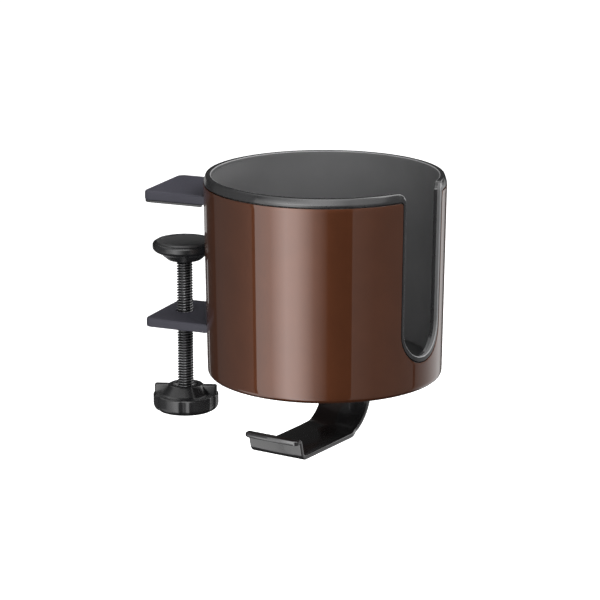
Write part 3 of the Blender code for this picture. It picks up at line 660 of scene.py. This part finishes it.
# ---- the knob -----------------------------------------------------------------------------
KNOB_HUB_RISE = 0.0034
KNOB_WING_HEADING = math.radians(107.0)
KNOB_WING_HALF = 0.0013
KNOB_FLUTES, KNOB_FLUTE_HEADING = 6, math.radians(22.0)
KNOB_FLUTE_DEPTH, KNOB_FLUTE_HALF = 0.00045, math.radians(9.5)


def flute_cut(heading):
    """How deep the nearest flute cuts into the knob's side."""
    pitch = math.tau / KNOB_FLUTES
    away = abs((heading - KNOB_FLUTE_HEADING + pitch / 2) % pitch - pitch / 2)
    return KNOB_FLUTE_DEPTH * (1 - smoothstep(0.35 * KNOB_FLUTE_HALF, KNOB_FLUTE_HALF, away))


def make_knob():
    top, bottom, radius = KNOB_HIGH.z, KNOB_LOW.z, KNOB_HIGH.x
    floor = top - KNOB_HUB_RISE
    corners = [(0.0033, top - 0.0020, 0.0), (0.0033, top - 0.0014, 0.0), (0.0046, top - 0.0006, 0.0002),
               (0.0046, top, 0.0003), (0.0062, top, 0.0007), (0.0091, floor, 0.0012),
               (radius, floor, 0.0006), (radius, bottom + 0.0030, 0.0005)]
    profile = rounded_profile(corners, 4)
    profile += arc((radius - 0.0026, bottom + 0.0026), 0.0026, -6, -90, 8)
    profile += [(0.0078, bottom), (0.0075, bottom + 0.0003), (0.0075, bottom + 0.0013),
                (0.0, bottom + 0.0013)]
    steps, rows = 180, []
    for r, z in profile:
        share = smoothstep(radius - 0.0022, radius - 0.0006, r)
        rows.append([around(math.tau * i / steps, r - share * flute_cut(math.tau * i / steps), z)
                     for i in range(steps)])
    body = new_object("knob_turned", [loft(rows)])
    reach = radius - 0.0005
    wing_top = top - 0.0001
    outline = arc((reach - KNOB_WING_HALF * 0.6, KNOB_WING_HALF * 0.4), KNOB_WING_HALF * 0.6, 90, 0, 4)
    outline += [(x, -y) for x, y in reversed(outline)]
    outline += [(0.0055, -KNOB_WING_HALF), (0.0055, KNOB_WING_HALF)]
    wings = []
    for turn in (0.0, math.pi):
        wing = new_object("wing", [prism(outline, floor - 0.0012, wing_top)])
        round_edges(wing, 0.0004, 4, 50.0)
        wing.data.transform(Matrix.Rotation(KNOB_WING_HEADING + turn, 4, "Z"))
        wings.append(wing)
    return finish_piece(joined("knob_body", body, *wings), "black_plastic", "screw", "knob", sharp=45.0)


def make_knob_cap():
    low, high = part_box("knob_cap")
    corners = [(0.0, high.z, 0.0), (high.x, high.z, 0.0), (high.x, low.z + 0.0003, 0.0003),
               (high.x - 0.0004, low.z, 0.0003), (0.0030, low.z, 0.0004),
               (0.0026, low.z + 0.0004, 0.0004), (0.0, low.z + 0.0004, 0.0)]
    cap = new_object("knob_bottom_cap", [turned(rounded_profile(corners, 3), 96)])
    return finish_piece(cap, "black_plastic", "screw", "knob_cap")


# ---- the headphone hook -------------------------------------------------------------------
def hook_line():
    """The middle of the strip, from the tab's end to the hem, as (along, z, heading, length so far)."""
    x, z, heading = HOOK_NECK / 2, HOOK_HIGH.z - HOOK_STRIP / 2, 180.0
    shelf = HOOK_SHELF_TOP - HOOK_STRIP / 2
    upright = z - HOOK_TAB_BEND - shelf - HOOK_BACK_BEND
    # Each move is a straight length, or a bend's radius and its angle in degrees, and its steps.
    moves = [(HOOK_NECK / 2, 0, 24), (HOOK_BACK - HOOK_TAB_BEND, 0, 4), (HOOK_TAB_BEND, 90, 12),
             (upright, 0, 2), (HOOK_BACK_BEND, 90, 28),
             (HOOK_LIP_START + HOOK_BACK - HOOK_BACK_BEND, 0, 16),
             (HOOK_LIP_BEND, HOOK_LIP_RISE, 12), (HOOK_LIP_LENGTH, 0, 3),
             (HOOK_HEM_BEND, HOOK_HEM_SLOPE - HOOK_LIP_RISE, 10), (HOOK_HEM_LENGTH, 0, 4)]
    line, run = [(x, z, heading, 0.0)], 0.0
    for size, bend, steps in moves:
        turn = bend / steps
        chord = 2 * size * math.sin(math.radians(abs(turn)) / 2) if bend else size / steps
        for _ in range(steps):
            way = math.radians(heading + turn / 2)
            x, z = x + chord * math.cos(way), z + chord * math.sin(way)
            heading, run = heading + turn, run + chord
            line.append((x, z, heading, run))
    return line


def make_hook():
    line = hook_line()
    total = line[-1][3]
    both_bends = math.pi / 2 * (HOOK_TAB_BEND + HOOK_BACK_BEND)
    shelf_start = HOOK_NECK / 2 + HOOK_BACK - HOOK_TAB_BEND + both_bends
    edge, corner = 0.00045, 0.0012
    half_thick = HOOK_STRIP / 2
    heading = Matrix.Translation(CUP_AXIS) @ Matrix.Rotation(HOOK_HEADING, 4, "Z")
    rows = []
    for x, z, way, run in line:
        widening = smoothstep(shelf_start - 0.0030, shelf_start + 0.0010, run)
        half = HOOK_NECK / 2 + (HOOK_WIDTH - HOOK_NECK) / 2 * widening
        if run < HOOK_NECK / 2:
            away = max(0.0, 1 - run / (HOOK_NECK / 2))
            half = max(0.0008, HOOK_NECK / 2 * math.sqrt(max(0.0, 1 - away * away)))
        if run > total - corner:
            into = (run - total + corner) / corner
            half -= corner * (1 - math.sqrt(max(0.0, 1 - into * into)))
        section = []
        for side, (c, s) in enumerate(((1, 1), (-1, 1), (-1, -1), (1, -1))):
            start = (0, 90, 180, 270)[side]
            for a in range(start, start + 91, 30):
                across = c * (half - edge) + edge * math.cos(math.radians(a))
                up = s * (half_thick - edge) + edge * math.sin(math.radians(a))
                section.append((across, up))
        tilt = math.radians(way)
        rows.append([heading @ Vector((x - up * math.sin(tilt), across, z + up * math.cos(tilt)))
                     for across, up in section])
    count = len(rows[0])
    points, faces = loft(rows)
    faces += [tuple(range(count))[::-1], tuple(range(len(points) - count, len(points)))]
    hook = new_object("hook_strip", [(points, faces)])
    round_edges(hook, 0.0002, 2, 70.0)
    carve(hook, upright_bore(PIVOT_HOLE, HOOK_HIGH.z - 0.004, HOOK_HIGH.z + 0.001, 48, CUP_AXIS))
    return finish_piece(hook, "black_paint", "hook", "headphone_hook", sharp=50.0)


# ---- the carried-over CAD nodes -----------------------------------------------------------
def dress_cad_nodes():
    slots = {row["node"]: row["material_slot"] for row in frame["record"]["subparts"]}
    for name, piece in frame["nodes"].items():
        piece.data.materials.clear()
        piece.data.materials.append(MATERIALS[slots[name]])


# ---- studio -------------------------------------------------------------------------------
FLOOR_DROP, ROOM_RADIUS, ROOM_BEND, ROOM_HIGH = 0.60, 9.0, 3.0, 9.0
OVERHEAD_SIZE, OVERHEAD_Z, OVERHEAD_LEVEL = 4.0, 1.6, 1.5
GLOW_POWER, GLOW_RADIUS, GLOW_Z = 0.018, 0.012, -0.044  # of the lamp inside the cup
WORLD_LEVEL = 0.03


def make_floor():
    """A white floor that curves up into a white room, which lights nothing by itself."""
    low, wide, bend, high = CUP_BOTTOM - FLOOR_DROP, ROOM_RADIUS, ROOM_BEND, ROOM_HIGH
    profile = [(0.0, low), (wide - bend, low)]
    profile += arc((wide - bend, low + bend), bend, -80, 0, 8)
    profile += [(wide, high), (wide - bend, high + bend), (0.0, high + bend)]
    floor = new_object("floor", [turned(profile, 64)])
    made = bpy.data.materials.new("floor")
    made.use_nodes = True
    shader = made.node_tree.nodes["Principled BSDF"]
    shader.inputs["Base Color"].default_value = (0.80, 0.80, 0.80, 1.0)
    shader.inputs["Roughness"].default_value = 0.9
    shader.inputs["Emission Color"].default_value = (1.0, 1.0, 1.0, 1.0)
    shader.inputs["Emission Strength"].default_value = 1.0
    floor.data.materials.append(made)
    floor.data.shade_smooth()
    floor.visible_glossy = floor.visible_diffuse = floor.visible_shadow = False


def hang(light, place):
    """Put a light in the scene, out of the camera's sight."""
    lamp = bpy.data.objects.new(light.name, light)
    lamp.location = place
    lamp.visible_camera = False
    bpy.context.scene.collection.objects.link(lamp)
    return lamp


def softbox(name, start, end, stops, low=-1.7, high=1.5, distance=1.6):
    """An upright soft light between two azimuths, in degrees to the right of the camera.

    Its stops say how bright it is at (share of its width, brightness), from start to end.
    """
    middle, half = (start + end) / 2, math.radians(end - start) / 2
    light = bpy.data.lights.new(name, "AREA")
    light.shape = "RECTANGLE"
    light.size = 2 * distance * math.tan(half)
    light.size_y = high - low
    brightest = max(level for _, level in stops)
    light.energy = brightest * math.pi * light.size * light.size_y
    if len(stops) > 1:
        light.use_nodes = True
        tree = light.node_tree
        across = node(tree, "ShaderNodeSeparateXYZ")
        tree.links.new(node(tree, "ShaderNodeNewGeometry").outputs["Parametric"], across.inputs[0])
        ramp = node(tree, "ShaderNodeValToRGB")
        for i, (share, level) in enumerate(stops):
            stop = ramp.color_ramp.elements[i] if i < 2 else ramp.color_ramp.elements.new(share)
            stop.position = share
            stop.color = (level / brightest, level / brightest, level / brightest, 1.0)
        tree.links.new(across.outputs["X"], ramp.inputs["Fac"])
        tree.links.new(ramp.outputs["Color"], tree.nodes["Emission"].inputs["Color"])
    heading = CAMERA_HEADING + math.pi + math.radians(middle)
    lamp = hang(light, around(heading, distance, (low + high) / 2, CUP_AXIS))
    inwards = Vector((-math.cos(heading), -math.sin(heading), 0.0))
    lamp.rotation_mode = "QUATERNION"
    lamp.rotation_quaternion = inwards.to_track_quat("-Z", "Y")
    return lamp


def make_lights():
    softbox("key", -69.5, 2.0, [(0.0, 2.1), (0.26, 2.2), (0.46, 5.0), (0.58, 4.3), (0.80, 1.1),
                                (1.0, 0.1)], -2.3, 0.55)
    softbox("left_fill", -129.0, -73.0, [(0.0, 0.1), (1.0, 0.4)])
    softbox("right_fill", 25.0, 95.0, [(0.0, 0.5), (0.35, 0.27), (1.0, 0.27)])
    softbox("left_back", -179.0, -152.0, [(0.0, 0.28), (1.0, 0.5)], -1.3, -0.1)
    softbox("right_back", 98.0, 158.0, [(0.0, 0.3), (0.5, 0.85), (0.8, 0.95), (1.0, 0.3)], -1.3, -0.1)
    high = softbox("right_high", 50.0, 110.0, [(0.0, 6.0)], 0.8, 2.2, 1.4)
    front = softbox("front_high", -60.0, 60.0, [(0.0, 0.8), (0.09, 1.0), (0.3, 2.2), (0.43, 4.3),
                                                (0.525, 3.7), (0.635, 1.6), (1.0, 1.1)], 0.05, 1.9)
    softbox("left_low", -100.0, -70.0, [(0.0, 1.5)], -2.4, -0.9)
    softbox("right_rim", 112.0, 152.0, [(0.0, 3.0)], 0.2, 1.3)
    for lamp in (high, front):
        lamp.rotation_quaternion = (CUP_AXIS - lamp.location).to_track_quat("-Z", "Y")
    top = bpy.data.lights.new("overhead", "AREA")
    top.shape = "RECTANGLE"
    top.size, top.size_y = OVERHEAD_SIZE, OVERHEAD_SIZE
    top.energy = OVERHEAD_LEVEL * math.pi * top.size * top.size_y
    hang(top, CUP_AXIS + Vector((0.0, 0.0, OVERHEAD_Z)))
    glow = bpy.data.lights.new("inside_glow", "POINT")
    glow.energy, glow.shadow_soft_size = GLOW_POWER, GLOW_RADIUS
    hang(glow, CUP_AXIS + Vector((0.0, 0.0, GLOW_Z))).visible_glossy = False
    world = bpy.data.worlds.new("studio")
    world.use_nodes = True
    background = world.node_tree.nodes["Background"]
    background.inputs["Color"].default_value = (1.0, 1.0, 1.0, 1.0)
    background.inputs["Strength"].default_value = WORLD_LEVEL
    bpy.context.scene.world = world


def make_camera():
    right = Vector((math.sin(CAMERA_HEADING), -math.cos(CAMERA_HEADING), 0.0))
    away = Vector((math.cos(CAMERA_HEADING), math.sin(CAMERA_HEADING), 0.0))
    forward = away * math.cos(CAMERA_TILT) - Vector((0, 0, math.sin(CAMERA_TILT)))
    up = away * math.sin(CAMERA_TILT) + Vector((0, 0, math.cos(CAMERA_TILT)))
    rim = CUP_AXIS + Vector((0, 0, RIM_Z))
    place = rim - right * RIM_RIGHT - up * RIM_UP - forward * CAMERA_DISTANCE
    data = bpy.data.cameras.new("camera")
    data.lens = CAMERA_LENS
    data.sensor_width = CAMERA_SENSOR
    camera = bpy.data.objects.new("camera", data)
    basis = Matrix((right, up, -forward)).transposed().to_4x4()
    camera.matrix_world = Matrix.Translation(place) @ basis
    bpy.context.scene.collection.objects.link(camera)
    bpy.context.scene.camera = camera


dress_cad_nodes()
make_shell()
make_liner()
make_mat()
make_frame()
make_jaw_rubber()
make_screw()
make_swivel_pad()
make_pad_face()
make_knob()
make_knob_cap()
make_hook()
make_floor()
make_lights()
make_camera()
bpy.context.scene.view_settings.view_transform = "Standard"
